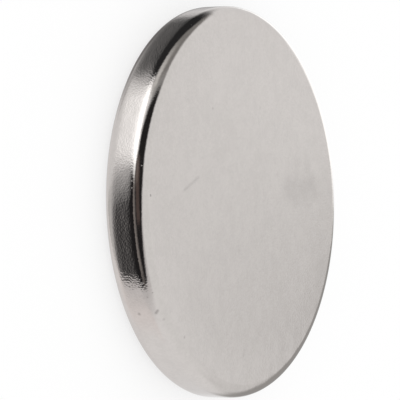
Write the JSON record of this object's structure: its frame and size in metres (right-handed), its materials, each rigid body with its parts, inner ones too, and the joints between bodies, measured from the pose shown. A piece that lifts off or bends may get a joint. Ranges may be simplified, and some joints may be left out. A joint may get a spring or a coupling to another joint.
{
  "type": "disc magnet",
  "caption": "Flat round disc magnet with tumbled, rounded edges and bright nickel plating, magnetised through its thickness, for holding, latching or sensing.",
  "frame": {"origin": "centre of the lower pole face, on which the disc lies", "axes": "+Z along the disc's axis and its direction of magnetisation, towards the upper pole face; X and Y are any two radii"},
  "size_m": [0.025, 0.025, 0.003],
  "materials": {
    "nickel_plating": "bright barrel-plated nickel with a fine pebbled grain, a few specks and light handling scratches"
  },
  "bodies": {
    "root": {"magnet_disc": "nickel_plating"}
  },
  "joints": []
}
